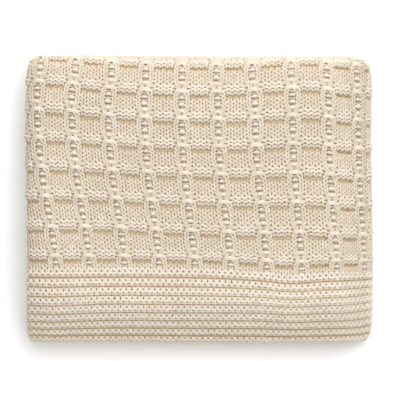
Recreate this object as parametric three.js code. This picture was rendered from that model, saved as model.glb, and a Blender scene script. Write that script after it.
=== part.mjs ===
import * as THREE from 'three';

// A knitted sofa throw, folded in four across its width and then in four along its length.
// Millimetres, +Z up. The origin is on the surface, under the middle of the folded throw.
// The knitted columns run along Y, the hems lie towards -Y and the outer fold towards +Y.
//
// Across its width both selvedges are turned under to the middle and the halves are laid back
// to back, so a packet holds four leaves of cloth. Along its length the packet is folded in
// half and in half again, so the pack holds four passes of that packet. It is all one piece.

const { clamp, lerp, smoothstep } = THREE.MathUtils;

// Driving dimensions
const packWidth = 404; // left folds to right folds
const packDepth = 332; // front hem to outer fold
const leafPitch = 4.9; // from one leaf of cloth to the next
const leafThickness = 4.2;
const leavesInPacket = 4;
const passesInPack = 4;
const leafGap = leafPitch - leafThickness;
const fullPass = leavesInPacket * leafPitch; // height of one pass where all its leaves lie
const packHeight = passesInPack * fullPass;

// Leaves of the packet, as offsets of their mid-lines from its mid-plane
const outerOffset = 1.5 * leafPitch;
const tuckedOffset = 0.5 * leafPitch;

// The tucked leaves stop short of the right fold, and the pack thins to two leaves from there.
const thinStart = 142;
const thinEnd = 194;
const thinPower = 2;
const topTuckEnd = thinStart;
const bottomTuckEnd = 137;

// The outer fold at the back, two tight bends with a straight drop between them
const foldSqueeze = 0.8; // share of its thickness that the packet keeps in the fold
const squeezeRun = 42; // how far before the fold the squeeze starts
const bendRadius = 1.6; // inside the bends
const backFace = packDepth / 2;
const foldStart = backFace - bendRadius - fullPass * foldSqueeze;

// The front: the two upper passes droop past the lower two to the surface.
const topHem = -packDepth / 2;
const innerHem = topHem + 2.5;
const frontFold = -107; // middle of the fold that joins the two lower passes
const frontFoldReach = 1.5; // that fold is loose, so it reaches further out than it is high
const drapeStart = -112;
const drapeDrop = 37;
const drapePower = 1.6;

// One row for each pass, in the order in which the cloth runs. The level is that of the inner
// side of its packet, counted in passes above the surface. Left and right say how far its
// folds are drawn in from the widest pass.
const passes = {
  top: { level: 3, faces: 1, drapes: true, left: 0.9, right: 1.7 },
  bottom: { level: 1, faces: -1, drapes: false, left: 2.6, right: 0.4 },
  third: { level: 1, faces: 1, drapes: false, left: 0.0, right: 1.1 },
  second: { level: 3, faces: -1, drapes: true, left: 1.8, right: 0.0 },
};

// One row for each side of the pack: how its upper edge rounds off
const edges = {
  left: { run: 40, drop: 16, power: 3 },
  right: { run: 30, drop: 5, power: 3 },
  back: { run: 40, drop: 5, power: 2.5 },
  front: { run: 26, drop: 3, power: 2.5 },
};

// One row for each corner in plan: which way it points from the middle, and its radius
const corners = [
  { towardsX: -1, towardsY: 1, radius: 21 },
  { towardsX: 1, towardsY: 1, radius: 27 },
  { towardsX: -1, towardsY: -1, radius: 11 },
  { towardsX: 1, towardsY: -1, radius: 16 },
];
const cornerPull = 0.29; // share by which the tip of a corner is drawn in

// One row for each soft wave that keeps the pack from being quite regular
const waves = [
  { moves: 'z', alongX: 1 / 310, alongY: 1 / 470, phase: 0.9, size: 0.9 },
  { moves: 'z', alongX: -1 / 170, alongY: 1 / 210, phase: 3.1, size: 0.6 },
  { moves: 'y', alongX: 1 / 420, alongY: 0, phase: 3.8, size: 0.9 },
  { moves: 'x', alongX: 0, alongY: 1 / 280, phase: 3.1, size: 0.8 },
];

// How finely the surfaces are stepped
const leafFoldSteps = 4;
const passFoldSteps = 6;
const bendSteps = 3;
const leftSteps = 4;
const rightSteps = 6;
const squeezeSteps = 3;
const drapeSteps = 5;
const stepGrowth = 1.4; // steps get longer away from an edge

const clothColor = 0xeadfca;

// Across the width: the section of one packet ---------------------------------------------------

const leftFold = -packWidth / 2 + tuckedOffset + leafThickness / 2; // middles of the folds
const rightFold = -leftFold;

// How far the pack has thinned at x, from 0 to 1
function thinning(x) {
  return clamp((x - thinStart) / (thinEnd - thinStart), 0, 1) ** thinPower;
}

// Height of one pass at x
function passHeight(x) {
  return fullPass - 2 * leafPitch * thinning(x);
}

// Offset of the outer leaves at x
function outerLeaf(x) {
  return outerOffset - leafPitch * thinning(x);
}

// Distances from an edge, close together beside it and further apart away from it
function distancesFrom(run, steps) {
  return Array.from({ length: steps + 1 }, (_, i) => run * (i / steps) ** stepGrowth);
}

// Places of the section's points along an outer leaf, from the left fold to the right fold
function leafPlaces(pass) {
  const left = leftFold + pass.left;
  const right = rightFold - pass.right;
  const leftPlaces = distancesFrom(edges.left.run, leftSteps).map((distance) => left + distance);
  const rightPlaces = distancesFrom(right - thinStart, rightSteps).map((distance) => right - distance);
  return { leftPlaces, all: [...leftPlaces, ...rightPlaces.reverse()], left, right };
}

// A fold of the cloth about a middle, from one angle to another
function foldPoints(middleX, middleOffset, radius, fromAngle, toAngle) {
  return Array.from({ length: leafFoldSteps - 1 }, (_, i) => {
    const angle = lerp(fromAngle, toAngle, (i + 1) / leafFoldSteps);
    const faceX = Math.cos(angle);
    const faceOffset = Math.sin(angle);
    return {
      x: middleX + radius * faceX,
      offset: middleOffset + radius * faceOffset,
      faceX,
      faceOffset,
    };
  });
}

// The cloth's mid-line from selvedge to selvedge. Each point has its place x, its offset from
// the packet's mid-plane, and the direction in which the outside of the cloth faces there.
function clothLine(pass) {
  const { leftPlaces, all, left, right } = leafPlaces(pass);
  const up = Math.PI / 2;
  const down = -up;
  const roundLeft = up + Math.PI; // the lower end of a fold that goes round by the left
  const leaf = (places, offsetAt, faceOffset) => (
    places.map((x) => ({ x, offset: offsetAt(x), faceX: 0, faceOffset }))
  );
  return [
    ...leaf([topTuckEnd, ...leftPlaces.toReversed()], () => tuckedOffset, -1),
    ...foldPoints(left, 2 * tuckedOffset, tuckedOffset, roundLeft, up),
    ...leaf(all, outerLeaf, 1),
    ...foldPoints(right, 0, outerLeaf(right), up, down),
    ...leaf(all.toReversed(), (x) => -outerLeaf(x), -1),
    ...foldPoints(left, -2 * tuckedOffset, tuckedOffset, roundLeft, up),
    ...leaf([...leftPlaces, bottomTuckEnd], () => -tuckedOffset, 1),
  ];
}

// The closed outline of the packet: along the outside of the cloth and back along its inside
function packetOutline(pass) {
  const line = clothLine(pass);
  const shifted = (distance) => line.map((p) => ({
    x: p.x + p.faceX * distance,
    offset: p.offset + p.faceOffset * distance,
  }));
  return [...shifted(leafThickness / 2), ...shifted(-leafThickness / 2).reverse()];
}

// Along the length: the stations that the packet passes through --------------------------------

// A station has the sides of its pass and a function of x that gives the place (y, z) of the
// packet's inner side there, the direction in which its outer side faces, and the share of its
// thickness that it keeps.

// A flat stretch of a pass, through the given places along Y
function flatStations(pass, places) {
  const squeezed = pass === passes.top || pass === passes.bottom;
  return places.map((y) => {
    const squeeze = squeezed ? smoothstep(y, foldStart - squeezeRun, foldStart) : 0;
    const keeps = lerp(1, foldSqueeze, squeeze);
    return {
      pass,
      at: (x) => ({ y, z: pass.level * passHeight(x), faceY: 0, faceZ: pass.faces, keeps }),
    };
  });
}

// The sides of a fold between two passes, part of the way round it
function sidesBetween(from, to, share) {
  return {
    left: lerp(from.left, to.left, share),
    right: lerp(from.right, to.right, share),
    drapes: false,
  };
}

// One tight bend of the outer fold, at the upper or the lower edge of the back
function bendStations(isUpper) {
  const firstTurn = isUpper ? 0 : Math.PI / 2;
  const firstStep = isUpper ? 1 : 0; // the flat stretches hold the two outer ends
  return Array.from({ length: bendSteps }, (_, i) => {
    const turn = firstTurn + ((i + firstStep) / bendSteps) * (Math.PI / 2);
    const faceY = Math.sin(turn);
    const faceZ = Math.cos(turn);
    return {
      pass: sidesBetween(passes.top, passes.bottom, turn / Math.PI),
      at: (x) => {
        const height = passHeight(x);
        const middleY = backFace - height * foldSqueeze - bendRadius;
        const middleZ = isUpper
          ? passes.top.level * height - bendRadius
          : passes.bottom.level * height + bendRadius;
        return {
          y: middleY + bendRadius * faceY,
          z: middleZ + bendRadius * faceZ,
          faceY,
          faceZ,
          keeps: foldSqueeze,
        };
      },
    };
  });
}

// The front fold joins the lower two passes and has the outside of the cloth outside.
function frontFoldStations() {
  return Array.from({ length: passFoldSteps - 1 }, (_, i) => {
    const share = (i + 1) / passFoldSteps;
    const turn = Math.PI * (1 + share);
    return {
      pass: sidesBetween(passes.bottom, passes.third, share),
      at: (x) => ({
        y: frontFold,
        z: passHeight(x),
        faceY: frontFoldReach * Math.sin(turn),
        faceZ: Math.cos(turn),
        keeps: 1,
      }),
    };
  });
}

// Middle of the inner fold, which lies close inside the outer fold
function innerFoldPlace(x) {
  return backFace - passHeight(x) * (1 + foldSqueeze) - leafGap;
}

// The inner fold joins the third and the second pass and has the outside of the cloth inside.
function innerFoldStations() {
  return Array.from({ length: passFoldSteps - 1 }, (_, i) => {
    const share = (i + 1) / passFoldSteps;
    const turn = Math.PI * share;
    return {
      pass: sidesBetween(passes.third, passes.second, share),
      at: (x) => ({
        y: innerFoldPlace(x) + passHeight(x) * Math.sin(turn),
        z: passHeight(x) * (2 - Math.cos(turn)),
        faceY: -Math.sin(turn),
        faceZ: Math.cos(turn),
        keeps: 1,
      }),
    };
  });
}

function allStations() {
  const drapeDistances = distancesFrom(drapeStart - topHem, drapeSteps);
  const drapePlaces = drapeDistances.map((distance) => topHem + distance);
  const foldPlaces = distancesFrom(squeezeRun, squeezeSteps).map((distance) => foldStart - distance);
  const innerFold = innerFoldPlace(0);
  const beforeInnerFold = innerFold - squeezeRun;
  const upperPlaces = drapePlaces.slice(1);
  return [
    ...flatStations(passes.top, [...drapePlaces, ...foldPlaces.toReversed()]),
    ...bendStations(true),
    ...bendStations(false),
    ...flatStations(passes.bottom, [...foldPlaces, frontFold]),
    ...frontFoldStations(),
    ...flatStations(passes.third, [frontFold, beforeInnerFold, innerFold]),
    ...innerFoldStations(),
    ...flatStations(passes.second, [innerFold, beforeInnerFold, ...upperPlaces.toReversed(), innerHem]),
  ];
}

// How the pack settles ---------------------------------------------------------------------------

// How far the upper passes have drooped at x, y
function drape(x, y) {
  const share = clamp((drapeStart - y) / (drapeStart - topHem), 0, 1);
  return drapeDrop * share ** drapePower * (passHeight(x) / fullPass);
}

// The share of its height that the pack keeps at x, y, where its upper edges round off
function heightKept(x, y) {
  const distances = {
    left: packWidth / 2 + x,
    right: packWidth / 2 - x,
    back: packDepth / 2 - y,
    front: packDepth / 2 + y,
  };
  let drop = 0;
  for (const [side, edge] of Object.entries(edges)) {
    const share = clamp(1 - distances[side] / edge.run, 0, 1);
    drop += edge.drop * share ** edge.power;
  }
  return 1 - drop / packHeight;
}

// Rounds the corners in plan
function roundCorners(x, y) {
  for (const { towardsX, towardsY, radius } of corners) {
    const shareX = (towardsX * x - packWidth / 2) / radius + 1;
    const shareY = (towardsY * y - packDepth / 2) / radius + 1;
    if (shareX > 0 && shareY > 0) {
      const pull = cornerPull * (shareX * shareY) ** 2 * radius;
      return [x - towardsX * shareX * pull, y - towardsY * shareY * pull];
    }
  }
  return [x, y];
}

function settle(x, y, z) {
  const [roundX, roundY] = roundCorners(x, y);
  const settled = new THREE.Vector3(roundX, roundY, z * heightKept(x, y));
  for (const wave of waves) {
    const turns = wave.alongX * x + wave.alongY * y;
    const shift = wave.size * Math.sin(2 * Math.PI * turns + wave.phase);
    settled[wave.moves] += wave.moves === 'z' ? shift * (z / packHeight) : shift;
  }
  return settled;
}

// Where a point of the packet's outline lies when the packet passes through a station
function placed(station, outlinePoint) {
  const { x, offset } = outlinePoint;
  const path = station.at(x);
  const out = (offset + passHeight(x) / 2) * path.keeps;
  const y = path.y + path.faceY * out;
  const z = path.z + path.faceZ * out - leafGap / 2;
  return settle(x, y, station.pass.drapes ? z - drape(x, y) : z);
}

// The solid --------------------------------------------------------------------------------------

function foldedCloth() {
  const rings = allStations().map((station) => (
    packetOutline(station.pass).map((outlinePoint) => placed(station, outlinePoint))
  ));
  const count = rings[0].length;
  const index = [];
  for (let ring = 0; ring < rings.length - 1; ring += 1) {
    for (let i = 0; i < count; i += 1) {
      const a = ring * count + i;
      const b = ring * count + ((i + 1) % count);
      index.push(a, b, a + count, b, b + count, a + count);
    }
  }
  const lastRing = (rings.length - 1) * count;
  for (let i = 0; i < count / 2 - 1; i += 1) {
    const across = count - 1 - i; // the point on the inside of the cloth beside point i
    const endFace = [i, i + 1, across, i + 1, across - 1, across];
    index.push(...endFace.toReversed());
    index.push(...endFace.map((corner) => lastRing + corner));
  }
  const geometry = new THREE.BufferGeometry();
  geometry.setFromPoints(rings.flat());
  geometry.setIndex(index);
  return geometry;
}

// Seats the cloth on the surface, with the middle of its outline over the origin
function seated(geometry) {
  geometry.computeBoundingBox();
  const { min, max } = geometry.boundingBox;
  geometry.translate(-(min.x + max.x) / 2, -(min.y + max.y) / 2, -min.z);
  geometry.computeVertexNormals();
  return geometry;
}

const cloth = new THREE.MeshStandardMaterial({ color: clothColor, roughness: 0.95, metalness: 0 });
const foldedThrow = new THREE.Mesh(seated(foldedCloth()), cloth);
foldedThrow.name = 'throw';

const model = new THREE.Group();
model.add(foldedThrow);

export default model;
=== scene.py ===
import math
from itertools import product

import bpy
import numpy as np
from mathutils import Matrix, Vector


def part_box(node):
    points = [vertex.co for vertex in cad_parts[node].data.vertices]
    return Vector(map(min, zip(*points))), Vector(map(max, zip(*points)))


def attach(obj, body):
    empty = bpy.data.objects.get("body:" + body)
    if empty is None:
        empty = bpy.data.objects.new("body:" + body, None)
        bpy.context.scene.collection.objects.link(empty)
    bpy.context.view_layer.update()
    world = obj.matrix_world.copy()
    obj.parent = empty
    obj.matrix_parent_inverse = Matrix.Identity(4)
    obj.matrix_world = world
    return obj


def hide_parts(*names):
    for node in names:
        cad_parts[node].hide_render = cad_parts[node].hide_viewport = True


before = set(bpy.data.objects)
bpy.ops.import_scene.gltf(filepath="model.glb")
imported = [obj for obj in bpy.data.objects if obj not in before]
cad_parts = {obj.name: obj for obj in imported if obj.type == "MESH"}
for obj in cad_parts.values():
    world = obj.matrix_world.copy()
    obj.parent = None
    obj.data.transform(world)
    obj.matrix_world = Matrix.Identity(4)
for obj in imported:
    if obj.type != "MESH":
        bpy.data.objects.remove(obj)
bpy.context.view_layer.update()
throwLow, throwHigh = (np.array(corner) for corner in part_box("throw"))

# A cream cotton throw, knitted in one piece and folded in four both ways. The cloth is a thin
# folded sheet, and the yarn that shows is knitted over it row by row. Sizes here are in
# millimetres until a mesh is made, and Blender gets metres.

mm = 0.001
fullTurn = 2 * math.pi
halfTurn = math.pi
quarterTurn = math.pi / 2


# Camera, straight above the throw

cameraChoices = {
    "distance": 3.0,     # metres above planeHeight
    "framed": 0.4657,    # metres across the view, at planeHeight
    "planeHeight": 0.05,
    "sensor": 36.0,
    "middleY": -0.0006,
}


def makeCamera(choices):
    data = bpy.data.cameras.new("camera")
    data.sensor_width = choices["sensor"]
    data.lens = choices["sensor"] * choices["distance"] / choices["framed"]
    camera = bpy.data.objects.new("camera", data)
    camera.location = (0, choices["middleY"], choices["distance"] + choices["planeHeight"])
    bpy.context.scene.collection.objects.link(camera)
    bpy.context.scene.camera = camera


makeCamera(cameraChoices)
print("camera placed")


# How the cloth is folded. Four leaves make a packet and four passes of the packet the pack.

folding = {
    "width": 404.0,
    "depth": 332.0,
    "leafPitch": 4.9,
    "leafThickness": 4.2,
    "leaves": 4,
    "passes": 4,
    "thinStart": 142.0,    # each pass thins from four leaves to two, from here to the right folds
    "thinEnd": 194.0,
    "topTuckEnd": 142.0,   # where the turned-in selvedges end
    "bottomTuckEnd": 137.0,
    "foldSqueeze": 0.8,    # share of its thickness that the packet keeps in the outer fold
    "squeezeRun": 42.0,
    "reachRun": 70.0,      # over which the outer passes reach out to the fold where the pack is thin
    "bendRadius": 1.6,
    "hemBack": 2.5,        # the lower hem lies this far behind the upper one
    "frontFold": -107.0,
    "frontFoldReach": 1.5,
    "droopStart": -112.0,
    "droop": 37.0,
    "droopPower": 1.6,
}

# how far each pass is drawn in at its left and right folds, in the order in which the cloth runs
drawnIn = {
    "top": (0.9, 1.7),
    "bottom": (2.6, 0.4),
    "third": (0.0, 1.1),
    "second": (1.8, 0.0),
}

# how each side of the pack rounds off: how far in it starts, how much it drops, and how late
roundedSides = {
    "left": (40.0, 16.0, 3.0),
    "right": (30.0, 5.0, 3.0),
    "back": (40.0, 5.0, 2.5),
    "front": (26.0, 3.0, 2.5),
}

# corners in plan: which way each points, and its radius
roundedCorners = [(-1, 1, 21.0), (1, 1, 27.0), (-1, -1, 11.0), (1, -1, 16.0)]
cornerPull = 0.29

# slow waves that keep the pack from being regular: axis, turns along x and y, phase, size
slowWaves = [
    (2, 1 / 310, 1 / 470, 0.9, 0.9),
    (2, -1 / 170, 1 / 210, 3.1, 0.6),
    (1, 1 / 420, 0.0, 3.8, 0.9),
    (0, 0.0, 1 / 280, 3.1, 0.8),
]

leafPitch = folding["leafPitch"]
leafGap = leafPitch - folding["leafThickness"]
fullPass = folding["leaves"] * leafPitch
packHeight = folding["passes"] * fullPass
outerOffset = 1.5 * leafPitch    # middles of the outer and the tucked leaves, from the packet's middle
tuckedOffset = 0.5 * leafPitch
foldRadius = tuckedOffset        # middle of the cloth in the folds along the sides
backFace = folding["depth"] / 2
topHem = -folding["depth"] / 2
innerHem = topHem + folding["hemBack"]
foldStart = backFace - folding["bendRadius"] - fullPass * folding["foldSqueeze"]
leftFold = -folding["width"] / 2 + tuckedOffset + folding["leafThickness"] / 2
rightFold = -leftFold

# the stretches of the folded length, one unit each in the order in which the cloth runs
topStretch, upperBend, backDrop, lowerBend, bottomStretch = range(5)
frontBend, thirdStretch, innerBend, secondStretch, stretchEnd = range(5, 10)


def mix(a, b, share):
    return a + (b - a) * share


def smooth(value, start, end):
    share = np.clip((value - start) / (end - start), 0, 1)
    return share * share * (3 - 2 * share)


def bell(value, middle, wide):
    return np.exp(-((value - middle) / wide) ** 2)


def unit(vectors):
    return vectors / np.maximum(np.linalg.norm(vectors, axis=1), 1e-6)[:, None]


# distance along a line of points, at each
def runAlong(points):
    return np.append(0, np.cumsum(np.linalg.norm(np.diff(points, axis=0), axis=1)))


# a smooth curve through a short table
def throughTable(value, places, heights):
    places, heights = np.array(places, float), np.array(heights, float)
    slopes = np.gradient(heights, places)
    value = np.clip(value, places[0], places[-1])
    k = np.clip(np.searchsorted(places, value) - 1, 0, len(places) - 2)
    run = places[k + 1] - places[k]
    s = (value - places[k]) / run
    return (
        heights[k] * (1 + 2 * s) * (1 - s) ** 2
        + heights[k + 1] * s * s * (3 - 2 * s)
        + run * (slopes[k] * s * (1 - s) ** 2 - slopes[k + 1] * s * s * (1 - s))
    )


def thinning(x):
    share = (x - folding["thinStart"]) / (folding["thinEnd"] - folding["thinStart"])
    return np.clip(share, 0, 1) ** 2


def passHeight(x):
    return fullPass - 2 * leafPitch * thinning(x)


def outerLeaf(x):
    return outerOffset - leafPitch * thinning(x)


def droopAt(x, y):
    share = np.clip((folding["droopStart"] - y) / (folding["droopStart"] - topHem), 0, 1)
    return folding["droop"] * share ** folding["droopPower"] * passHeight(x) / fullPass


def settled(x, y, z):
    inward = {
        "left": folding["width"] / 2 + x,
        "right": folding["width"] / 2 - x,
        "back": folding["depth"] / 2 - y,
        "front": folding["depth"] / 2 + y,
    }
    drop = 0
    for side, (run, most, power) in roundedSides.items():
        drop = drop + most * np.clip(1 - inward[side] / run, 0, 1) ** power
    place = [x, y, z * (1 - drop / packHeight)]
    for towardsX, towardsY, radius in roundedCorners:
        shareX = np.clip((towardsX * x - folding["width"] / 2) / radius + 1, 0, None)
        shareY = np.clip((towardsY * y - folding["depth"] / 2) / radius + 1, 0, None)
        pull = cornerPull * (shareX * shareY) ** 2 * radius
        place[0] = place[0] - towardsX * shareX * pull
        place[1] = place[1] - towardsY * shareY * pull
    for axis, alongX, alongY, phase, size in slowWaves:
        shift = size * np.sin(fullTurn * (alongX * x + alongY * y) + phase)
        place[axis] = place[axis] + (shift * z / packHeight if axis == 2 else shift)
    return np.stack(place, -1)


# Where the packet runs at w along its stretches: the place of its inner side, the way it faces,
# the share of its thickness that it keeps, and whether it droops
def packetRun(w, x):
    w, x = np.broadcast_arrays(np.asarray(w, float), np.asarray(x, float))
    height = passHeight(x)
    stretch = np.clip(np.floor(w), 0, stretchEnd - 1).astype(int)
    share = w - stretch
    squeeze, radius = folding["foldSqueeze"], folding["bendRadius"]
    bendMiddle = backFace - height * squeeze - radius
    innerMiddle = backFace - height * (1 + squeeze) - leafGap
    one, none = np.ones_like(x), np.zeros_like(x)

    def outerStretch(y):
        return y + (bendMiddle - foldStart) * smooth(y, foldStart - folding["reachRun"], foldStart)

    def kept(y):
        return mix(1, squeeze, smooth(y, foldStart - folding["squeezeRun"], foldStart))

    def outerTurn(turn, z):
        return (bendMiddle + radius * np.sin(turn), z + radius * np.cos(turn),
                np.sin(turn), np.cos(turn), squeeze * one)

    topY = outerStretch(mix(topHem, foldStart, share))
    bottomY = outerStretch(mix(foldStart, folding["frontFold"], share))
    upper, lower = share * quarterTurn, (1 + share) * quarterTurn
    frontTurn, innerTurn = halfTurn * (1 + share), halfTurn * share
    runs = [
        (topY, 3 * height, none, one, kept(topY)),
        outerTurn(upper, 3 * height - radius),
        outerTurn(none + quarterTurn, mix(3 * height - radius, height + radius, share)),
        outerTurn(lower, height + radius),
        (bottomY, height, none, -one, kept(bottomY)),
        (none + folding["frontFold"], height, folding["frontFoldReach"] * np.sin(frontTurn),
         np.cos(frontTurn), one),
        (mix(folding["frontFold"], innerMiddle, share), height, none, one, one),
        (innerMiddle + height * np.sin(innerTurn), height * (2 - np.cos(innerTurn)),
         -np.sin(innerTurn), np.cos(innerTurn), one),
        (mix(innerMiddle, innerHem, share), 3 * height, none, -one, one),
    ]
    droops = (stretch == topStretch) | (stretch == secondStretch)
    columns = [np.choose(stretch, [run[k] for run in runs]) for k in range(5)]
    return (*columns, droops)


# How far the packet's folds are drawn in at w
def sidesAt(w):
    places = [0, upperBend, bottomStretch, frontBend, thirdStretch, innerBend, secondStretch, stretchEnd]
    order = ["top", "top", "bottom", "bottom", "third", "third", "second", "second"]
    left = np.interp(w, places, [drawnIn[name][0] for name in order])
    right = np.interp(w, places, [drawnIn[name][1] for name in order])
    return leftFold + left, rightFold - right


# The place of a point of the packet's section when the packet is at w
def packPoint(w, x, offset):
    y, z, faceY, faceZ, keeps, droops = packetRun(w, x)
    out = (offset + passHeight(x) / 2) * keeps
    y = y + faceY * out
    z = z + faceZ * out - leafGap / 2
    z = np.where(droops, z - droopAt(x, y), z)
    return settled(x, y, z)


# Seats the pack where the solid of the throw stands
def findSeat(alongSteps=700, acrossSteps=80):
    half = folding["leafThickness"] / 2
    xs = np.linspace(leftFold - foldRadius - half, rightFold + foldRadius + half, acrossSteps)
    w = np.linspace(0, stretchEnd, alongSteps)
    faces = outerLeaf(xs) + half
    places = [packPoint(w[:, None], xs[None, :], offset[None, :]).reshape(-1, 3)
              for offset in (faces, -faces)]
    places.append(packPoint(w, rightFold + foldRadius + half, 0))
    places += [packPoint(w, leftFold - foldRadius - half, middle) for middle in (leafPitch, -leafPitch)]
    places = np.concatenate(places)
    low, high = places.min(0), places.max(0)
    wanted = (throwLow + throwHigh) / 2 / mm
    return np.array([wanted[0] - (low[0] + high[0]) / 2, wanted[1] - (low[1] + high[1]) / 2,
                     throwLow[2] / mm - low[2]])


seat = findSeat()
print("pack seated", seat.round(2))


# Mesh making

def makeMesh(name, corners, faces, uvs, attributes):
    # faces is a list of index tables, one row a face; uvs has a table of the same shape for each
    data = bpy.data.meshes.new(name)
    data.vertices.add(len(corners))
    data.vertices.foreach_set("co", (corners * mm).astype(np.float32).ravel())
    loops = np.concatenate([table.ravel() for table in faces])
    sizes = np.concatenate([np.full(len(table), table.shape[1]) for table in faces])
    data.loops.add(len(loops))
    data.loops.foreach_set("vertex_index", loops.astype(np.int32))
    data.polygons.add(len(sizes))
    data.polygons.foreach_set("loop_start", np.append(0, np.cumsum(sizes)[:-1]).astype(np.int32))
    data.polygons.foreach_set("use_smooth", np.ones(len(sizes), bool))
    for layer, tables in uvs.items():
        flat = np.concatenate([table.reshape(-1, 2) for table in tables])
        data.uv_layers.new(name=layer).data.foreach_set("uv", flat.astype(np.float32).ravel())
    for label, values in attributes.items():
        data.attributes.new(label, "FLOAT", "POINT").data.foreach_set("value", values.astype(np.float32))
    data.update(calc_edges=True)
    data.validate()
    piece = bpy.data.objects.new(name, data)
    bpy.context.scene.collection.objects.link(piece)
    return piece


def addToThrow(piece, material):
    piece.data.materials.append(material)
    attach(piece, "root")
    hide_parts("throw")


# The corners of each quad on a map, in order round it
def mapSquares(low, high, under, over):
    low, high, under, over = np.broadcast_arrays(low, high, under, over)
    return np.stack([low, under, high, under, high, over, low, over], -1).reshape(-1, 4, 2)


# Strands of yarn, gathered into one mesh
class Yarns:
    sides = 5
    endTaper = 0.45      # share of the radius that is left at the ends of a strand
    endReach = 0.3       # how far the tips lie beyond them
    endTint = 0.5
    stripLength = 150    # steps of yarn in one strip of the baking map
    mapMargin = 0.1      # share of a strip that is left empty
    capShape = np.array([[0, 0], [1, 0], [0.5, 1]])
    capSize = 0.8        # of the ends on the baking map
    capYarn = 0.2        # and on the yarn's own

    def __init__(self, name):
        self.name = name
        self.corners, self.lifts, self.tints, self.alongs, self.counts = [], [], [], [], []

    # points along a strand, the way out of the cloth at each, its radius, lift and tint
    def add(self, points, outward, radius, lift, tint):
        count = len(points)
        if count < 3:
            return
        tangent = unit(np.gradient(points, axis=0))
        side = unit(np.cross(tangent, outward))
        up = np.cross(side, tangent)
        radius = np.broadcast_to(radius, count).copy()
        radius[[0, -1]] *= self.endTaper
        angle = fullTurn * (np.arange(self.sides)[:, None] / self.sides) + quarterTurn
        ring = np.cos(angle) * side[:, None] + np.sin(angle) * up[:, None]
        rings = points[:, None] + radius[:, None, None] * ring
        tips = [points[0] - tangent[0] * self.endReach, points[-1] + tangent[-1] * self.endReach]
        # the outer side of each strand gets more lift, so it is painted paler and its inner side darker:
        # painted light and shade
        rise = radius[:, None] * (ring * outward[:, None]).sum(-1)
        tints = np.repeat(np.broadcast_to(tint, count), self.sides)
        self.corners.append(np.concatenate([rings.reshape(-1, 3), tips]))
        self.lifts.append(np.append(np.broadcast_to(lift, count)[:, None] + rise, [0, 0]))
        self.tints.append(np.append(tints, [self.endTint, self.endTint]))
        self.alongs.append(runAlong(points))
        self.counts.append(count)

    def make(self):
        sides, j = self.sides, np.arange(self.sides)
        nextJ = (j + 1) % sides
        order = [0, 3, 2, 1]    # a quad's corners run round the strand first
        quads, quadYarn, caps, start = [], [], [], 0
        for count, along in zip(self.counts, self.alongs):
            ring = start + np.arange(count - 1)[:, None] * sides
            quads.append(np.stack([ring + j, ring + nextJ, ring + sides + nextJ, ring + sides + j], -1))
            squares = mapSquares(along[:-1, None], along[1:, None], j / sides, (j + 1) / sides)
            quadYarn.append(squares[:, order])
            last = start + (count - 1) * sides
            firstEnd = start + count * sides
            caps.append(np.stack([nextJ + start, j + start, firstEnd + 0 * j], -1))
            caps.append(np.stack([j + last, nextJ + last, firstEnd + 1 + 0 * j], -1))
            start = firstEnd + 2
        quads, caps = np.concatenate(quads), np.concatenate(caps)
        steps = len(quads)
        strips = -(-steps // self.stripLength) + 1
        strip, place = (part[:, None] for part in np.divmod(np.arange(steps), self.stripLength))
        width = (1 - self.mapMargin) / sides
        bake = mapSquares(place / self.stripLength, (place + 1) / self.stripLength,
                          (strip + width * j) / strips, (strip + width * (j + 1)) / strips)[:, order]
        capBake = np.stack(np.broadcast_arrays(
            (np.arange(len(caps))[:, None] + self.capSize * self.capShape[:, 0]) / len(caps),
            (strips - 1 + self.capSize * self.capShape[:, 1]) / strips), -1)
        capYarn = np.broadcast_to(self.capYarn * self.capShape, (len(caps), 3, 2))
        uvs = {"OFBake": [bake, capBake], "yarn": [np.concatenate(quadYarn), capYarn]}
        attributes = {"lift": np.concatenate(self.lifts), "tint": np.concatenate(self.tints)}
        quads = quads.reshape(-1, 4)
        piece = makeMesh(self.name, np.concatenate(self.corners), [quads, caps], uvs, attributes)
        print(self.name, "has", 2 * len(quads) + len(caps), "triangles")
        return piece


# The sheet: a closed thin shell of the whole folded cloth, under the yarn that shows

sheetChoices = {
    "innerSide": 1.9,      # from the middle of the cloth to its hidden side
    "outerSide": -0.3,     # to its outer side, below the yarn
    "bareSide": 2.0,       # to its outer side underneath, where no yarn is added
    "bareFrom": (0.05, 0.12),    # shares of the bottom stretch over which that side comes out
    "bareTo": 0.05,              # and share over which it goes back in before the front bend
    "bareEdge": 14.0,            # how far in from the side folds it comes out
    "foldSteps": 8,
    "faceSteps": 26,
    "backSteps": 12,
    "tuckSteps": 7,
    "lengthSteps": {       # along each stretch
        topStretch: 16, upperBend: 5, backDrop: 3, lowerBend: 5, bottomStretch: 9,
        frontBend: 7, thirdStretch: 5, innerBend: 8, secondStretch: 14,
    },
}


# steps from 0 to 1 that are closer together towards both ends
def endedSteps(count, closeness=0.8):
    even = np.linspace(0, 1, count + 1)
    return mix(even, 0.5 - 0.5 * np.cos(halfTurn * even), closeness)


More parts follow.
